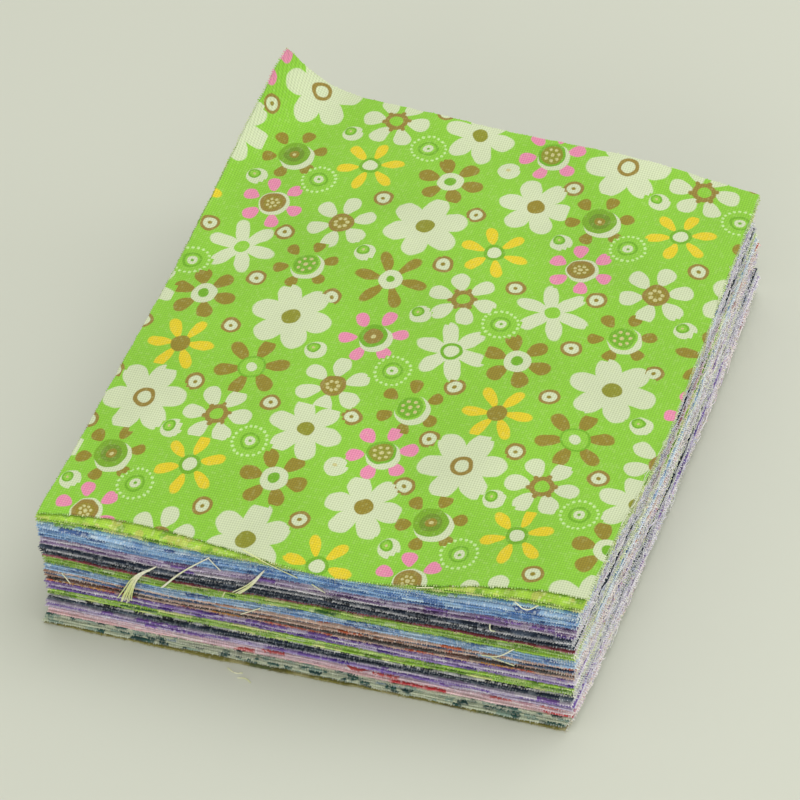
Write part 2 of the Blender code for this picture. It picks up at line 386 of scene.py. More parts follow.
# Printed cottons: the record's slot for it, ground, three motif colours, bare thread, size of the print in
# mm, share of ground from 0 to 1, and how much bare thread shows.
CLOTH_COLUMNS = (
    "slot", "ground", "motif_1", "motif_2", "motif_3", "thread", "print_size", "ground_share", "worn"
)
CLOTHS = {
    "olive": ("mint", "8A8440", "6E6A38", "A8A070", "5E6A3C", "C8C4A0", 4.0, 0.5, 0.4),
    "mint": ("mint", "BEC6B0", "2F5A55", "2A4A4A", "90A89C", "E2E4D4", 2.4, 0.36, 0.5),
    "mint_pale": ("mint", "C4CAB8", "8CA8A0", "94A8B8", "3C6660", "E2E6D8", 3.0, 0.4, 0.5),
    "red": ("pink", "DCB8BC", "C03A40", "C03A40", "E4C8CC", "F0E6E6", 7.0, 0.3, 0.4),
    "pink": ("pink", "DCC0CC", "ECDCE0", "C89AAA", "C85A5A", "F2E8EC", 5.0, 0.5, 0.6),
    "lilac": ("lilac", "C3B6D2", "8A64B8", "DDD6E4", "A492BC", "EEEAF2", 4.5, 0.45, 0.6),
    "purple": ("purple", "7A5CB0", "A08AC8", "543A94", "C0B4D8", "D6CCE6", 4.0, 0.4, 0.45),
    "plum": ("purple", "7A6090", "54386A", "9A80AE", "C0B2CC", "D8CEE0", 3.6, 0.36, 0.5),
    "navy": ("navy", "1C2A3E", "16202E", "2E3C52", "4A566A", "B4BAC4", 4.0, 0.55, 0.35),
    "ticks": ("navy", "A8A8B0", "1E2630", "20242C", "CFCFD6", "E8E8EC", 1.6, 0.35, 0.6),
    "lime": ("lime", "9AC648", "B4D276", "64902E", "D2D894", "E2EAB0", 3.6, 0.4, 0.45),
    "lime_print": ("lime", "A2CC44", "BED264", "82B036", "B8C45C", "E4ECB4", 1.5, 0.45, 0.35),
    "leaf": ("leaf", "96BE5A", "3A6E3A", "BED4A2", "6E9A40", "DEE8BC", 3.4, 0.4, 0.45),
    "grey": ("grey", "BAB4C0", "D8D4DC", "8A8494", "6A4AA2", "ECEAF0", 4.0, 0.5, 0.6),
    "black": ("navy", "4A4444", "2A2828", "6A4A44", "3A3A3A", "A8A0A0", 5.0, 0.5, 0.3),
    "peach": ("peach", "D0AEA0", "E0C8BC", "B48A78", "C4603C", "F0E4DC", 4.5, 0.5, 0.55),
    "peach_dash": ("peach", "D0AEA0", "C4583C", "C88A3C", "D2AEA0", "F0E4DC", 6.0, 0.35, 0.5),
    "sky": ("sky", "9CBCE0", "BAD2EC", "7AA0D4", "4A66A0", "E6EEF6", 4.5, 0.45, 0.6),
    "sky_line": ("navy", "34466A", "4F6EA0", "22304C", "8CACD0", "B8C8DC", 6.0, 0.5, 0.3),
    "dark_red": ("dark_red", "7A2E38", "8E3A42", "5A2030", "A0606A", "CDA8AC", 5.0, 0.5, 0.3),
    "blue": ("blue", "7AA2D6", "567EBC", "9ABEE2", "40609A", "CADCEE", 3.6, 0.45, 0.5),
    "pale_blue": ("pale_blue", "94BAE2", "769CCE", "BCD6EC", "5A80BA", "E2EEF8", 3.6, 0.45, 0.5),
    "ice": ("pale_blue", "9CC6E0", "C8E0E4", "7AAAD8", "8FBE6A", "E8F2F2", 4.2, 0.5, 0.5),
}
PRINT_STEP = 17.3  # how far a square's cells lie from those of the one below, so that no two look alike
SPOT_RIM, SPOT_HEART = 0.66, 0.58  # where a spot of the print starts and is whole, as shares of its cell


def printed_cotton(cloth):
    """Plain-woven quilting cotton with a small scattered print: matt, with a fine grid of threads."""
    row = dict(zip(CLOTH_COLUMNS, CLOTHS[cloth]))
    material, tree, place = cotton_material("printed_cotton_" + cloth)
    x, y, _ = add_node(tree, SEPARATE, place).outputs
    lot = add_node(tree, ATTRIBUTE, attribute_name="lot").outputs["Fac"]
    own_print = add_node(tree, MATH, lot, PRINT_STEP, operation="MULTIPLY")
    spot_place = add_node(tree, COMBINE, x, y, own_print)
    cells = add_node(tree, "ShaderNodeTexVoronoi", spot_place, 1 / row["print_size"], voronoi_dimensions="3D")
    random = add_node(tree, "ShaderNodeSeparateColor", cells.outputs["Color"])
    picked = add_node(tree, "ShaderNodeValToRGB", random)
    ramp = picked.color_ramp
    ramp.interpolation = "CONSTANT"
    first = row["ground_share"]
    step = (1 - first) / 3
    ramp.elements.remove(ramp.elements[1])
    ramp.elements[0].color = linear(row["ground"])
    for i in range(3):
        ramp.elements.new(first + step * i).color = linear(row[f"motif_{i + 1}"])
    inside = add_node(tree, RANGE, cells.outputs["Distance"], SPOT_RIM, SPOT_HEART, 0.0, 1.0)
    colour = add_node(tree, MIX, inside, linear(row["ground"]), picked, data_type="RGBA")
    cloudy = patches(tree, spot_place, 0.35, 3.0, 0.15, 0.82, 1.14)
    tone = add_node(tree, WHITE_NOISE, lot, noise_dimensions="1D")
    tone = add_node(tree, RANGE, tone, 0.0, 1.0, 0.86, 1.1)
    tone = add_node(tree, MATH, tone, cloudy, operation="MULTIPLY")
    colour = add_node(tree, MIX, 1.0, colour, tone, **SHADED)
    finish_cotton(tree, colour, place, row["thread"], row["worn"])
    return material


def store(tree, geometry, **numbers):
    """The geometry with numbers stored on its points, under the names that the cotton's material reads."""
    for name, value in numbers.items():
        geometry = add_node(
            tree, "GeometryNodeStoreNamedAttribute", geometry, None, name, value, data_type="FLOAT"
        )
    return geometry


def raw_edge_tree():
    """Raw cut edges: a tapered stub at each cut thread, and loose curved fibres, most at the right."""
    tree = bpy.data.node_groups.new("raw edges", "GeometryNodeTree")
    sizes = {
        "Half Thickness": CLOTH_THICKNESS / 2, "Pitch": THREAD_PITCH, "Radius": 0.17, "Shortest": 0.12,
        "Longest": 0.36, "Longer At Right": 0.15, "Fibre Pitch": 0.8, "Fibre Shortest": 1.4,
        "Fibre Longest": 4.2, "Fibres Within": 46.0,
    }
    shares = {
        "Fray": 0.9, "Tip Share": 0.55, "Fibre Slimness": 0.028, "Stray Share": 0.006, "Share At Right": 0.6
    }
    inputs = [("Cloth", "Geometry", None), ("Lot", "Float", 0.0), ("Seed", "Int", 0)]
    inputs += [("Cotton", "Material", None)] + [(name, "Float", size * MM) for name, size in sizes.items()]
    inputs += [(name, "Float", share) for name, share in shares.items()]
    for name, kind, value in inputs:
        socket = tree.interface.new_socket(name, in_out="INPUT", socket_type="NodeSocket" + kind)
        if value is not None:
            socket.default_value = value
    tree.interface.new_socket("Geometry", in_out="OUTPUT", socket_type="NodeSocketGeometry")
    given = tree.nodes.new("NodeGroupInput").outputs

    # The line of the cut, with the directions outwards from it.
    rim = add_node(tree, "GeometryNodeInputNamedAttribute", "rim", data_type="BOOLEAN")
    line = add_node(tree, "GeometryNodeMeshToCurve", given["Cloth"], rim)
    middle = add_node(tree, COMBINE, 0.0, 0.0, given["Half Thickness"])
    line = add_node(tree, "GeometryNodeSetPosition", line, Offset=middle)
    tangent = tree.nodes.new("GeometryNodeInputTangent")
    side = add_node(tree, VECTOR, tangent, (0, 0, 1), operation="CROSS_PRODUCT")
    position = tree.nodes.new("GeometryNodeInputPosition")
    flip = add_node(tree, VECTOR, side, position, operation="DOT_PRODUCT")
    flip = add_node(tree, MATH, flip, operation="SIGN")
    outward = add_node(tree, VECTOR, side, flip, operation="SCALE")
    at_right = add_node(tree, SEPARATE, outward).outputs[0]
    at_right = add_node(tree, MATH, at_right, 0.0, operation="MAXIMUM")
    longest = add_node(
        tree, MATH, at_right, given["Longer At Right"], given["Longest"], operation="MULTIPLY_ADD"
    )

    # What differs from thread to thread, between two values.
    draws = (
        ("strand", 0.0, 1.0), ("splay", (-0.3, -0.3, -0.5), (0.3, 0.3, 0.25)),
        ("length", given["Shortest"], longest), ("dice", 0.0, 1.0), ("either_way", -1.0, 1.0),
        ("how_far_out", -0.05, 0.12), ("scatter", (0, 0, -0.3), (0, 0, 0.22)),
        ("roll", (0, 0, 0), (math.tau,) * 3), ("size", given["Fibre Shortest"], given["Fibre Longest"]),
    )
    drawn = {}
    for i, (name, low, high) in enumerate(draws):
        seed = add_node(tree, MATH, given["Seed"], 101.0 * i, operation="ADD")
        kind = "FLOAT_VECTOR" if isinstance(low, tuple) else "FLOAT"
        drawn[name] = add_node(tree, RANDOM, low, high, None, seed, data_type=kind)

    # The stubs. Threads at the right are frayed, and their ends a little longer.
    fray = add_node(tree, MATH, at_right, given["Fray"], operation="MULTIPLY")
    points = add_node(tree, "GeometryNodeResampleCurve", line, None, given["Pitch"], mode="LENGTH")
    aim = add_node(tree, VECTOR, outward, drawn["splay"], operation="ADD")
    turned = add_node(tree, "FunctionNodeAlignRotationToVector", None, None, aim, axis="Z")
    size = add_node(tree, COMBINE, 1.0, 1.0, drawn["length"])
    tip = add_node(tree, MATH, given["Radius"], given["Tip Share"], operation="MULTIPLY")
    stub = add_node(tree, "GeometryNodeMeshCone", 3, None, None, tip, given["Radius"], 1.0, fill_type="NGON")
    points = store(tree, points, fray=fray, strand=drawn["strand"])
    stubs = add_node(tree, "GeometryNodeInstanceOnPoints", points, None, stub, None, None, turned, size)

    # The fibres: one soft curve of length 1, turned and sized at random, along the edge and away from it.
    ends_and_bow = (0, 0, 0), (0.5, 0.13, 0.0), (1.0, 0.0, 0.04)
    curve = add_node(tree, "GeometryNodeCurveQuadraticBezier", 3, *ends_and_bow)
    profile = add_node(tree, "GeometryNodeCurvePrimitiveCircle", 3, given["Fibre Slimness"])
    fibre = add_node(tree, "GeometryNodeCurveToMesh", curve, profile, Fill_Caps=True)
    spots = add_node(tree, "GeometryNodeResampleCurve", line, None, given["Fibre Pitch"], mode="LENGTH")
    chance = add_node(
        tree, MATH, at_right, given["Share At Right"], given["Stray Share"], operation="MULTIPLY_ADD"
    )
    from_middle = add_node(tree, VECTOR, position, operation="ABSOLUTE")
    from_middle = add_node(tree, SEPARATE, from_middle).outputs[1]
    off_corner = add_node(tree, MATH, from_middle, given["Fibres Within"], operation="LESS_THAN")
    chance = add_node(tree, MATH, chance, off_corner, operation="MULTIPLY")
    chosen = add_node(
        tree, "FunctionNodeCompare", drawn["dice"], chance, data_type="FLOAT", operation="LESS_THAN"
    )
    either_way = add_node(tree, MATH, drawn["either_way"], operation="SIGN")
    along = add_node(tree, VECTOR, tangent, either_way, operation="SCALE")
    out = add_node(tree, VECTOR, outward, drawn["how_far_out"], operation="SCALE")
    heading = add_node(tree, VECTOR, along, out, operation="ADD")
    heading = add_node(tree, VECTOR, heading, drawn["scatter"], operation="ADD")
    roll = add_node(tree, "FunctionNodeEulerToRotation", drawn["roll"])
    turned = add_node(tree, "FunctionNodeAlignRotationToVector", roll, None, heading, axis="X")
    spots = store(tree, spots, fray=given["Fray"], strand=drawn["strand"])
    fibres = add_node(
        tree, "GeometryNodeInstanceOnPoints", spots, chosen, fibre, None, None, turned, drawn["size"]
    )

    joined = tree.nodes.new("GeometryNodeJoinGeometry")
    for source in (fibres.outputs[0], stubs.outputs[0], given["Cloth"]):
        tree.links.new(source, joined.inputs[0])
    whole = add_node(tree, "GeometryNodeRealizeInstances", joined)

    # What would reach through the table top is turned up from it.
    x, y, z = add_node(tree, SEPARATE, position).outputs
    z = add_node(tree, MATH, z, operation="ABSOLUTE")
    on_table = add_node(tree, COMBINE, x, y, z)
    whole = add_node(tree, "GeometryNodeSetPosition", whole, None, on_table)
    whole = store(tree, whole, lot=given["Lot"])
    whole = add_node(tree, "GeometryNodeSetMaterial", whole, None, given["Cotton"])
    tree.links.new(whole.outputs[0], tree.nodes.new("NodeGroupOutput").inputs[0])
    return tree


def apply_tree(obj, tree, values):
    """Run a Geometry Nodes tree on an object with values for its inputs, and keep the result as its mesh."""
    modifier = obj.modifiers.new(tree.name, "NODES")
    modifier.node_group = tree
    for socket in tree.interface.items_tree:
        if socket.name in values:
            modifier[socket.identifier] = values[socket.name]
    evaluated = obj.evaluated_get(bpy.context.evaluated_depsgraph_get())
    mesh = bpy.data.meshes.new_from_object(evaluated)
    obj.modifiers.remove(modifier)
    plain = obj.data
    obj.data = mesh
    bpy.data.meshes.remove(plain)
    mesh.name = obj.name


def place_square(obj, number):
    """The bundle's one body carries the square, and the solid at its height is hidden."""
    solid = SOLIDS[min(len(SOLIDS) - 1, int(number * CLOTH_PITCH / SOLID_PITCH))]
    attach(obj, "root")
    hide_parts(solid)


# Each square's cloth, from the bottom up.
PLAIN_SQUARES = (
    "olive", "mint", "mint", "mint_pale", "mint", "red", "pink", "pink", "lilac", "purple", "lilac", "navy",
    "navy", "ticks", "lime", "leaf", "lime", "purple", "lilac", "purple", "peach_dash", "black", "peach",
    "sky_line", "peach", "sky", "sky", "pale_blue", "lime", "leaf", "lime", "dark_red", "navy", "navy",
    "ticks", "navy", "grey", "plum", "lilac", "plum", "blue", "pale_blue", "blue", "pale_blue", "sky",
    "ice", "lime", "lime_print",
)
PLAIN_CELLS = 34
PLACE_SEED, RIPPLE_SEED = 100, 500
# The front edges of the highest squares wave alike: from which square on, and where in their wave they start.
ALIKE_FROM, ALIKE_PHASE = 45, 0.70

raw_edges = raw_edge_tree()
cottons = {cloth: printed_cotton(cloth) for cloth in CLOTHS}
even = np.linspace(0, 1, PLAIN_CELLS + 1)
for number, cloth in enumerate(PLAIN_SQUARES):
    rng = np.random.default_rng(PLACE_SEED + number)
    share = number / (SQUARE_COUNT - 1)
    outsets = [at(table, share) for table in (LEFT_OUTSET, RIGHT_OUTSET, FRONT_OUTSET)] + [BACK_OUTSET]
    outsets += rng.uniform(-1, 1, 4) * OUTSET_JITTER
    stray = at(FRONT_STRAY, share)
    phase = ALIKE_PHASE if number >= ALIKE_FROM else rng.random()
    name = f"cotton_{number + 1:02d}_{cloth}"
    x, y, level = square_plan(number, even, even, outsets, stray, phase)
    square = square_mesh(name, number, x, y, level, RIPPLE_SEED + number)
    apply_tree(square, raw_edges, {"Lot": number + 1.0, "Seed": number, "Cotton": cottons[cloth]})
    place_square(square, number)

# The top square. Lime quilting cotton printed with daisies in cream, khaki, pink and yellow. Its print is a
# repeat that is charted: each motif's kind, place and turn, with petals and discs drawn from sizes.

TOP_NUMBER = SQUARE_COUNT - 1
TOP_OUTSETS = (0.0, 0.0, -0.5, 0.0)
TOP_STRAY, TOP_PHASE = 2.1, 0.65
TOP_CELLS_ACROSS, TOP_CELLS_BACK = 128, 136
REPEAT_ACROSS = np.array((59.7, -1.0))
REPEAT_BACK = np.array((4.5, 74.0))
CHART_REACH = 64.0  # mm from the middle to the furthest motif that can show

INKS = {
    "lime": "8DC93F", "cream": "D0DAB8", "khaki": "93842F", "olive": "8E9030", "brown": "96803C",
    "pink": "E58CB0", "yellow": "E2CB2C", "green": "74B02A", "fern": "7AAA2C", "moss": "71922C",
    "pale": "C4E69C", "straw": "C9C48A",
}

# Petals: how many, where they start and end from the centre, half their width, and their ink. Discs, from
# the widest in: radius and ink; the shift says how far the first lies right of and behind the centre. Dots
# in a ring: how many, the ring's radius, a dot's radius and ink. Reach is the motif's own size, for sharing
# out the cloth between motifs.
KIND_COLUMNS = ("reach", "petals", "start", "end", "half_width", "petal_ink", "shift", "discs", "dots")
KINDS = {
    "big_daisy_ring": (8.0, 6, -0.6, 7.7, 2.15, "cream", (0, 0), ((2.0, "brown"), (1.25, "cream")), ()),
    "big_daisy": (8.0, 6, -0.6, 7.6, 2.2, "cream", (0, 0), ((1.75, "olive"),), ()),
    "daisy_olive": (7.0, 6, -0.2, 6.8, 1.75, "cream", (0, 0), ((1.5, "olive"),), ()),
    "daisy_khaki": (7.0, 6, 0.4, 6.9, 1.9, "cream", (0, 0), ((1.65, "khaki"),), ()),
    "star": (6.8, 6, -0.2, 6.7, 1.35, "cream", (0, 0), ((1.4, "lime"),), ()),
    "star_ring": (6.8, 6, -0.2, 6.7, 1.4, "cream", (0, 0), ((1.9, "green"), (1.25, "cream")), ()),
    "loose_daisy": (
        6.8, 6, 2.2, 6.5, 1.55, "cream", (0, 0), ((2.35, "brown"), (1.75, "khaki")), (7, 1.05, 0.36, "straw")
    ),
    "loose_star": (
        6.6, 6, 2.0, 6.4, 1.55, "cream", (0, 0), ((2.15, "brown"), (1.25, "lime")), (6, 2.3, 0.45, "brown")
    ),
    "brown_daisy": (6.4, 6, 2.1, 6.2, 1.4, "khaki", (0.1, -0.1), ((2.4, "cream"), (1.05, "green")), ()),
    "brown_star": (6.8, 6, 1.6, 6.8, 1.05, "khaki", (0, 0), ((2.2, "cream"), (0.75, "green")), ()),
    "brown_lime": (
        7.0, 6, 2.0, 6.7, 1.25, "khaki", (0, 0), ((2.55, "green"), (2.2, "lime"), (1.05, "cream")), ()
    ),
    "brown_crescent": (
        6.6, 6, 3.3, 6.2, 1.15, "khaki", (0.75, -0.65),
        ((3.3, "cream"), (3.0, "fern"), (1.9, "moss"), (0.95, "khaki")), (1, 0.0, 0.35, "straw"),
    ),
    "brown_dotted": (
        6.4, 6, 3.1, 6.0, 1.15, "khaki", (0.6, -0.55),
        ((3.1, "cream"), (2.7, "lime"), (2.3, "green"), (0.4, "straw")), (7, 1.4, 0.33, "straw"),
    ),
    "pink_brown": (
        6.4, 6, 3.0, 6.1, 1.25, "pink", (0.3, -0.2),
        ((2.9, "cream"), (2.4, "brown"), (1.7, "khaki"), (0.4, "straw")), (7, 1.0, 0.3, "straw"),
    ),
    "pink_green": (
        6.6, 6, 2.8, 6.3, 1.2, "pink", (0.7, -0.6),
        ((3.0, "cream"), (2.6, "green"), (1.75, "brown"), (0.45, "straw")), (),
    ),
    "pink_dotted": (
        6.6, 6, 2.9, 6.3, 1.25, "pink", (0.5, -0.6),
        ((3.0, "cream"), (2.6, "green"), (2.1, "olive"), (0.4, "straw")), (7, 1.3, 0.32, "straw"),
    ),
    "yellow_white": (6.6, 6, 1.9, 6.2, 1.0, "yellow", (0, 0), ((1.95, "green"), (1.3, "cream")), ()),
    "yellow_khaki": (6.6, 6, 1.4, 6.2, 1.0, "yellow", (0, 0), ((1.8, "khaki"),), ()),
    "small_ring": (2.3, 0, 0, 0, 0, "cream", (0, 0), ((1.85, "brown"), (1.25, "cream"), (0.4, "khaki")), ()),
    "crescent": (
        2.6, 0, 0, 0, 0, "cream", (0.65, -0.5),
        ((2.0, "cream"), (1.15, "green"), (0.75, "lime"), (0.25, "straw")), (),
    ),
    "moon": (2.6, 0, 0, 0, 0, "cream", (0.3, -0.3), ((2.1, "cream"), (0.4, "straw")), ()),
    "dotted_ring": (
        4.3, 0, 0, 0, 0, "cream", (0, 0), ((1.8, "green"), (1.35, "lime"), (0.95, "cream"), (0.3, "green")),
        (20, 3.1, 0.28, "pale"),
    ),
}
DISC_COUNT = 4
PETAL_SWELL = 0.32  # how much wider a petal is at its end than at its middle, as a share
DOTS_TURN = 0.3  # radians
HAND_DRAWN = (0.75, 0.75, 0.0)  # mm that the outlines of the motifs wobble, as if drawn by hand
PRINT_EDGE = 0.08  # mm, half the soft edge of an ink
THREAD_LIME = "DCEBAE"  # the bare thread of the lime cloth
LEAST_WORN = 0.1
FAR_OFF = 50.0  # mm, where what a motif doesn't have is put, so that none of it is drawn

# One cell of the repeat: where each kind lies, in mm to the right of and behind the bundle's middle, and how
# far it is turned, in degrees.
MOTIFS = {
    "big_daisy_ring": ((-39.0, -24.0, 12),),
    "big_daisy": ((-20.5, -0.6, -4), (-4.9, 25.6, 27)),
    "daisy_olive": ((-8.2, -24.3, -8),),
    "star": ((-36.0, 13.3, -8),),
    "star_ring": ((10.2, -1.7, -8),),
    "daisy_khaki": ((7.7, -37.5, 0),),
    "loose_daisy": ((-7.2, -14.0, 30), (-20.3, 23.0, 25)),
    "loose_star": ((-24.5, -25.0, 3), (7.8, 10.5, -6)),
    "brown_daisy": ((-9.5, -35.5, -3), (-38.0, 0.6, -5)),
    "brown_lime": ((-22.7, -13.6, 20),),
    "brown_star": ((-6.3, 11.7, -2),),
    "brown_crescent": ((-40.0, -36.5, 20),),
    "brown_dotted": ((7.5, -15.0, 35), (-22.8, 11.8, 20)),
    "pink_brown": ((-34.8, 25.0, -12),),
    "pink_green": ((-4.5, -1.5, 14),),
    "pink_dotted": ((6.3, -25.5, 21),),
    "yellow_white": ((-25.0, -36.0, 22), (9.0, 23.2, -5)),
    "yellow_khaki": ((-37.2, -11.7, 5),),
    "small_ring": (
        (-31.3, -19.0, 0), (-16.2, -20.5, 0), (-19.6, -43.3, 0), (-30.0, -5.6, 0), (-30.3, 6.5, 0),
        (-29.8, 18.7, 0), (-15.2, 5.4, 0), (-1.8, -42.8, 0), (1.5, 17.6, 0), (15.7, 16.0, 0),
        (13.5, -9.0, 0), (-1.5, -19.6, 0), (13.1, -20.7, 0), (12.7, -31.5, 0),
    ),
    "crescent": ((-32.0, -28.9, 0), (14.3, -44.0, 0), (-14.0, -6.3, 0), (1.2, 5.7, 0), (-13.7, 17.2, 0)),
    "moon": ((-0.5, -30.1, 0),),
    "dotted_ring": ((-33.0, -41.7, 0), (-16.5, -29.3, 0), (1.7, -8.3, 0), (16.2, 6.6, 0)),
}

# The real cloth rolls over further than this one at its back edge and its curled corner, so the motifs that
# lie within these reaches of them, in mm, are printed nearer to them.
BACK_REACH, BACK_SHIFT = (17.0, 5.0), np.array((0.0, 1.4))
CORNER_REACH, CORNER_SHIFT = (22.0, 13.0), np.array((-1.6, 1.5))


def rolled_back(place):
    """How far a motif lies nearer the back edge and the curled corner than the repeat says."""
    corner = np.array(HIGHEST["back_left"])
    at_edge = smooth((BACK_REACH[0] - (corner - place)[1]) / (BACK_REACH[0] - BACK_REACH[1]))
    at_corner = smooth((CORNER_REACH[0] - np.hypot(*(corner - place))) / (CORNER_REACH[0] - CORNER_REACH[1]))
    return BACK_SHIFT * at_edge + CORNER_SHIFT * at_corner


def chart():
    """All motifs that reach the square, from the repeat: kind, place, turn in radians."""
    found = []
    cells = [i * REPEAT_ACROSS + j * REPEAT_BACK for i in range(-2, 3) for j in range(-2, 3)]
    for kind, spots in MOTIFS.items():
        for *spot, turn in spots:
            for cell in cells:
                place = np.array(spot) + cell
                if (np.abs(place) < CHART_REACH).all():
                    found.append((kind, *(place + rolled_back(place)), math.radians(turn)))
    return found


def motif_numbers(kind, turn):
    """The vectors that the material draws a motif from, by the name of their attribute."""
    row = dict(zip(KIND_COLUMNS, KINDS[kind]))
    middle, half_length = (row["start"] + row["end"]) / 2, (row["end"] - row["start"]) / 2
    sector = math.tau / max(row["petals"], 1)
    missing = DISC_COUNT - len(row["discs"])
    discs = row["discs"] + ((-FAR_OFF, "cream"),) * missing
    count, ring, dot, dot_ink = row["dots"] or (1, FAR_OFF, 0.1, "cream")
    numbers = {
        "petal_form": (middle, half_length, row["half_width"]) if row["petals"] else (FAR_OFF, 1.0, 1.0),
        "petal_turn": (turn, sector, 1.0),
        "petal_ink": linear(INKS[row["petal_ink"]])[:3],
        "disc_shift": (*row["shift"], 0.0),
        "disc_radii": [radius for radius, _ in discs[:3]],
        "last_radius": (discs[3][0], 0.0, 0.0),
        "dot_form": (math.tau / count, ring, dot),
        "dot_ink": linear(INKS[dot_ink])[:3],
    }
    for i, (_, ink) in enumerate(discs):
        numbers[f"disc_ink_{i + 1}"] = linear(INKS[ink])[:3]
    return numbers


def print_on(mesh, cloth_x, cloth_y):
    """Give each face's corners the numbers of its motif, by the face's place on the cloth laid flat."""
    motifs = chart()
    centres = np.array([m[1:3] for m in motifs])
    reaches = np.array([KINDS[m[0]][0] for m in motifs])
    flat = np.tile(np.stack((cloth_x.ravel(), cloth_y.ravel()), axis=1), (2, 1))
    loops = np.empty(len(mesh.loops), dtype=np.int32)
    mesh.loops.foreach_get("vertex_index", loops)
    corners = flat[loops].reshape(-1, 4, 2)
    away = np.linalg.norm(corners.mean(axis=1)[:, None] - centres[None], axis=2) - reaches
    owner = away.argmin(axis=1)
    local = corners - centres[owner][:, None]
    place = np.concatenate((local, np.zeros(local.shape[:2] + (1,))), axis=2)
    layer = mesh.attributes.new("motif_place", "FLOAT_VECTOR", "CORNER")
    layer.data.foreach_set("vector", place.astype(np.float32).ravel())
    numbers = [motif_numbers(m[0], m[3]) for m in motifs]
    for name in numbers[0]:
        values = np.array([n[name] for n in numbers], dtype=np.float32)[np.repeat(owner, 4)]
        layer = mesh.attributes.new(name, "FLOAT_VECTOR", "CORNER")
        layer.data.foreach_set("vector", values.ravel())


def spokes(tree, radius, angle, turn, sector):
    """How far a place lies along and across the nearest of the spokes, which are a sector apart."""
    half = add_node(tree, MATH, sector, 0.5, operation="MULTIPLY")
    turned = add_node(tree, MATH, angle, turn, operation="SUBTRACT")
    turned = add_node(tree, MATH, turned, half, operation="ADD")
    within = add_node(tree, MATH, turned, sector, operation="FLOORED_MODULO")
    off = add_node(tree, MATH, within, half, operation="SUBTRACT")
    parts = [add_node(tree, MATH, off, operation=part) for part in ("COSINE", "SINE")]
    return [add_node(tree, MATH, radius, part, operation="MULTIPLY") for part in parts]


def inked(tree, colour, ink, distance, radius):
    """A colour with an ink printed over it where the distance is under the radius, up to a soft edge."""
    outside = add_node(tree, MATH, distance, radius, operation="SUBTRACT")
    mask = add_node(tree, RANGE, outside, PRINT_EDGE, -PRINT_EDGE, 0.0, 1.0)
    return add_node(tree, MIX, mask, colour, ink, data_type="RGBA")


def daisy_print():
    """Lime quilting cotton, screen printed: flat inks with crisp edges, a little uneven over the threads."""
    material, tree, place = cotton_material("daisy_printed_cotton")
    given = {}
    for name in ("motif_place", *motif_numbers("big_daisy", 0.0)):
        node = add_node(tree, ATTRIBUTE, attribute_name=name)
        given[name] = node.outputs["Color" if "ink" in name else "Vector"]
    hand = add_node(tree, NOISE, place, 0.34, 1.0).outputs["Color"]
    hand = add_node(tree, VECTOR, hand, (0.5, 0.5, 0.5), operation="SUBTRACT")
    local = add_node(tree, VECTOR, hand, HAND_DRAWN, given["motif_place"], operation="MULTIPLY_ADD")
    x, y, _ = add_node(tree, SEPARATE, local).outputs
    radius = add_node(tree, VECTOR, local, operation="LENGTH")
    angle = add_node(tree, MATH, y, x, operation="ARCTAN2")

    # Petals: ovals on the spokes, wider towards their ends.
    turn, sector, printed = add_node(tree, SEPARATE, given["petal_turn"]).outputs
    middle, half_length, half_width = add_node(tree, SEPARATE, given["petal_form"]).outputs
    along, across = spokes(tree, radius, angle, turn, sector)
    t = add_node(tree, MATH, along, middle, operation="SUBTRACT")
    t = add_node(tree, MATH, t, half_length, operation="DIVIDE")
    swelling = add_node(tree, MATH, t, PETAL_SWELL, 1.0, operation="MULTIPLY_ADD")
    width = add_node(tree, MATH, half_width, swelling, operation="MULTIPLY")
    w = add_node(tree, MATH, across, width, operation="DIVIDE")
    oval = add_node(tree, COMBINE, t, w)
    oval = add_node(tree, VECTOR, oval, operation="LENGTH")
    oval = add_node(tree, MATH, oval, half_width, operation="MULTIPLY")
    colour = inked(tree, linear(INKS["lime"]), given["petal_ink"], oval, half_width)

    # Discs, from the widest in, and the ring of dots.
    shifted = add_node(tree, VECTOR, local, given["disc_shift"], operation="DISTANCE")
    first, second, third = add_node(tree, SEPARATE, given["disc_radii"]).outputs
    fourth = add_node(tree, SEPARATE, given["last_radius"]).outputs[0]
    for i, size in enumerate((first, second, third, fourth)):
        colour = inked(tree, colour, given[f"disc_ink_{i + 1}"], radius if i else shifted, size)
    sector, ring, dot = add_node(tree, SEPARATE, given["dot_form"]).outputs
    along, across = spokes(tree, radius, angle, DOTS_TURN, sector)
    off_ring = add_node(tree, MATH, along, ring, operation="SUBTRACT")
    to_dot = add_node(tree, COMBINE, off_ring, across)
    to_dot = add_node(tree, VECTOR, to_dot, operation="LENGTH")
    colour = inked(tree, colour, given["dot_ink"], to_dot, dot)

    # The thread ends carry no print.
    colour = add_node(tree, MIX, printed, linear(INKS["lime"]), colour, data_type="RGBA")
    cloudy = patches(tree, place, 0.06, 4.0, 0.2, 0.94, 1.05)
    colour = add_node(tree, MIX, 1.0, colour, cloudy, **SHADED)
    finish_cotton(tree, colour, place, THREAD_LIME, LEAST_WORN)
    return material


across = np.linspace(0, 1, TOP_CELLS_ACROSS + 1)
back = np.linspace(0, 1, TOP_CELLS_BACK + 1)
x, y, level = square_plan(TOP_NUMBER, across, back, TOP_OUTSETS, TOP_STRAY, TOP_PHASE)
top_square = square_mesh("cotton_49_daisy", TOP_NUMBER, x, y, level, 0)
print_on(top_square.data, x, y)
apply_tree(top_square, raw_edges, {"Lot": float(SQUARE_COUNT), "Seed": SQUARE_COUNT, "Cotton": daisy_print()})
place_square(top_square, TOP_NUMBER)

# Loose threads. Pale ends pulled out of the cut edges hang over the front of the bundle, some in tufts, and
# two short ones have dropped in front of it. Each is a thin round thread along a smooth line.

THREAD_RADIUS = 0.11
TUFT_SEED = 7
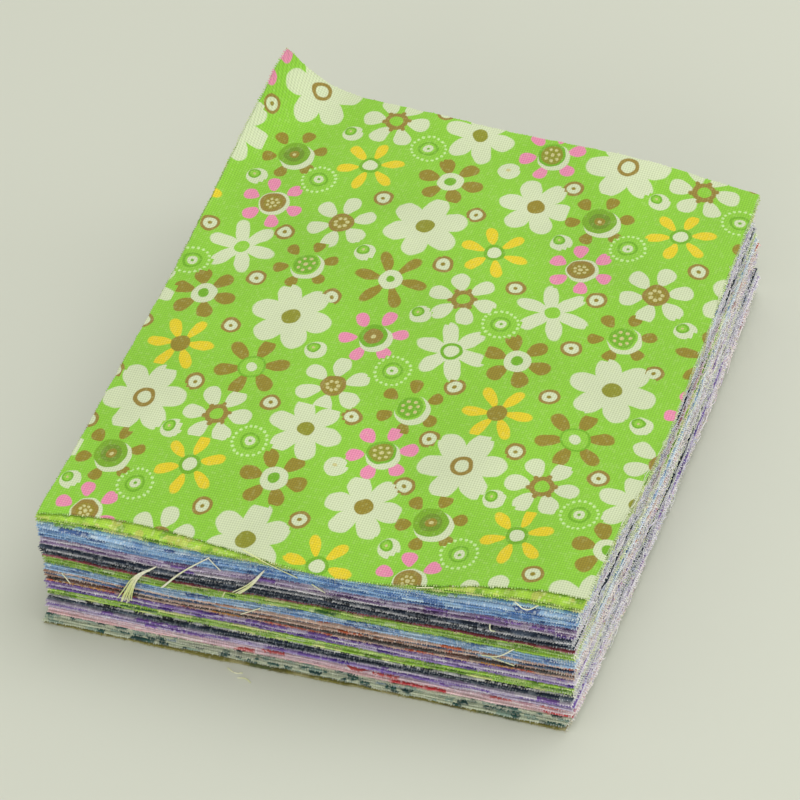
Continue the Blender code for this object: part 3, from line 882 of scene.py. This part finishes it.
# Points across and up the front, how many threads lie along them, and how far those spread at the end.
HANGING_THREADS = (
    (((-44.5, 13.0), (-43.4, 11.2)), 2, 0.4),
    (((-25.6, 18.6), (-29.2, 16.2), (-31.4, 12.6), (-32.7, 9.9)), 10, 1.3),
    (((-15.1, 22.9), (-20.1, 19.3), (-24.9, 14.2)), 2, 0.4),
    (((-15.4, 22.8), (-13.4, 20.4)), 1, 0.0),
    (((-5.2, 22.2), (-7.5, 19.6), (-10.8, 16.6)), 5, 0.8),
    (((-8.6, 26.2), (-4.0, 24.4), (0.8, 21.9)), 1, 0.0),
    (((-13.9, 14.5), (-13.2, 15.8)), 1, 0.0),
    (((-10.9, 11.4), (-7.0, 13.6)), 1, 0.0),
    (((3.2, 21.1), (5.5, 19.7)), 1, 0.0),
    (((34.4, 19.6), (34.6, 18.9), (35.2, 18.2)), 1, 0.0),
    (((32.5, 12.6), (35.6, 13.6), (38.3, 15.2)), 1, 0.0),
    (((34.2, 12.5), (38.1, 11.7)), 1, 0.0),
    (((22.0, 24.4), (25.0, 25.0)), 1, 0.0),
    (((39.0, 25.0), (41.0, 24.4), (43.0, 25.2)), 1, 0.0),
)
# Along x and y on the table top.
DROPPED_THREADS = (
    ((-14.2, -56.6), (-12.4, -57.3), (-11.2, -57.0)),
    ((-11.6, -58.2), (-10.2, -58.0), (-9.0, -58.6)),
)
STANDS_OFF = (0.35, 0.9)  # how far the ends and the middle of a hanging thread stand off the cut edges
FAN_SHARE = 0.4  # how far a tuft spreads up, down and outwards, as a share of how far it does sideways


def front_at(x, z):
    """Where the bundle's front face lies at a place across and up."""
    corner = corners_at(min(1.0, z / STACK_HEIGHT))
    places, values = zip(corner["front_left"], corner["front_right"])
    return float(np.interp(x, places, values))


def add_thread(curve, points):
    spline = curve.splines.new("BEZIER")
    spline.resolution_u = 5
    spline.bezier_points.add(len(points) - 1)
    for point, place in zip(spline.bezier_points, points):
        point.co = (Vector(place) - Vector((*MIDDLE, 0))) * MM
        point.handle_left_type = point.handle_right_type = "AUTO"


curve = bpy.data.curves.new("loose threads", "CURVE")
curve.dimensions = "3D"
curve.bevel_depth = THREAD_RADIUS * MM
curve.bevel_resolution = 1
curve.use_fill_caps = True
rng = np.random.default_rng(TUFT_SEED)
for line, count, spread in HANGING_THREADS:
    for _ in range(count):
        last = len(line) - 1
        fan = rng.uniform(-1, 1, 2) * spread
        points = []
        for i, (x, z) in enumerate(line):
            x, z = x + fan[0] * i / last, z + fan[1] * FAN_SHARE * i / last
            off = STANDS_OFF[1 if 0 < i < last else 0] + spread * FAN_SHARE * i / last
            points.append((x, front_at(x, z) - off, z))
        add_thread(curve, points)
for line in DROPPED_THREADS:
    add_thread(curve, [(x, y, THREAD_RADIUS) for x, y in line])

# Undyed cotton yarn: off-white with a yellow-green tinge, with painted shade and a little painted light along
# its twist.
yarn, tree, place = cotton_material("loose_cotton_yarn")
tinge = patches(tree, place, 0.12, 1.0, 0.1)
colour = add_node(tree, MIX, tinge, linear("EEECD8"), linear("DCE2A2"), data_type="RGBA")
twist = add_node(tree, NOISE, place, 4.0, 2.0)
# Painted shade where the twist's bump is low, and a little painted light where it is high.
shade = add_node(tree, RANGE, twist, 0.35, 0.65, 0.82, 1.05)
colour = add_node(tree, MIX, 1.0, colour, shade, **SHADED)
finish(tree, colour, twist, 0.4, 0.05, {"Roughness": 0.9, "Specular IOR Level": 0.2})

carrier = add_object("loose threads curve", curve)
threads_mesh = bpy.data.meshes.new_from_object(carrier.evaluated_get(bpy.context.evaluated_depsgraph_get()))
bpy.data.objects.remove(carrier)
threads_mesh.materials.clear()
threads_mesh.materials.append(yarn)
threads_mesh.shade_smooth()
threads = add_object("loose_threads", threads_mesh)
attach(threads, "root")

# The table top and the light: a pale matt surface under soft light from all round, seen as the photograph
# sees it.

FLOOR_HALF = 1.5  # metres
floor_mesh = bpy.data.meshes.new("floor")
floor_corners = [(sx * FLOOR_HALF, sy * FLOOR_HALF, 0) for sx, sy in ((-1, -1), (1, -1), (1, 1), (-1, 1))]
floor_mesh.from_pydata(floor_corners, [], [(0, 1, 2, 3)])
floor = add_object("floor", floor_mesh)
paint = bpy.data.materials.new("pale_matt_table")
paint.use_nodes = True
shader = paint.node_tree.nodes["Principled BSDF"]
shader.inputs["Base Color"].default_value = linear("CFD1C8")
shader.inputs["Roughness"].default_value = 0.7
floor_mesh.materials.append(paint)

LAMPS_FACE = Vector((0.0, 0.0, 0.02))


def soft_lamp(name, place, size, power, tint):
    """A square lamp that faces the bundle: place and size in metres, power in watts, and colour."""
    data = bpy.data.lights.new(name, "AREA")
    data.shape = "SQUARE"
    data.size = size
    data.energy = power
    data.color = tint
    lamp = add_object(name, data)
    lamp.location = place
    lamp.rotation_euler = (LAMPS_FACE - Vector(place)).to_track_quat("-Z", "Y").to_euler()


soft_lamp("lamp_over", (0.4, 0.35, 1.1), 1.0, 7.5, (1.0, 1.0, 0.97))
soft_lamp("lamp_front", (0.25, -1.0, 0.3), 0.8, 3.7, (1.0, 0.99, 0.97))
soft_lamp("lamp_right", (0.9, 0.2, 0.22), 0.5, 1.2, (1.0, 1.0, 0.98))
world = bpy.data.worlds.new("studio")
world.use_nodes = True
background = world.node_tree.nodes["Background"]
background.inputs["Color"].default_value = linear("EBECDF")
background.inputs["Strength"].default_value = 0.7
bpy.context.scene.world = world
bpy.context.scene.view_settings.view_transform = "Standard"

# The camera looks down on the front right corner from half a metre away, and is rolled a little. Its angles
# are in radians, and its lens and sensor in mm.
CAMERA_AZIMUTH = 0.5149887
CAMERA_ELEVATION = 0.7713203
CAMERA_ROLL = -0.1996474
CAMERA_DISTANCE = 534.5
CAMERA_OFFSET = (-4.355, 1.231)
LOOKS_AT = (2.17, -0.31, 12.0)
FOCAL_LENGTH = 135.34
SENSOR_WIDTH = 36.0
NEAREST_SEEN = 0.01  # metres

ground = math.cos(CAMERA_ELEVATION)
azimuth = (math.sin(CAMERA_AZIMUTH), math.cos(CAMERA_AZIMUTH))
backward = Vector((azimuth[0] * ground, -azimuth[1] * ground, math.sin(CAMERA_ELEVATION)))
level_right = Vector((azimuth[1], azimuth[0], 0))
level_up = backward.cross(level_right)
to_right = level_right * math.cos(CAMERA_ROLL) + level_up * math.sin(CAMERA_ROLL)
to_top = level_up * math.cos(CAMERA_ROLL) - level_right * math.sin(CAMERA_ROLL)
place = Vector(LOOKS_AT) + to_right * CAMERA_OFFSET[0] + to_top * CAMERA_OFFSET[1]
place += backward * CAMERA_DISTANCE
camera_data = bpy.data.cameras.new("camera")
camera_data.lens = FOCAL_LENGTH
camera_data.sensor_width = SENSOR_WIDTH
camera_data.clip_start = NEAREST_SEEN
camera = add_object("camera", camera_data)
turn = Matrix((to_right, to_top, backward)).transposed().to_4x4()
camera.matrix_world = Matrix.Translation(place * MM) @ turn
bpy.context.scene.camera = camera
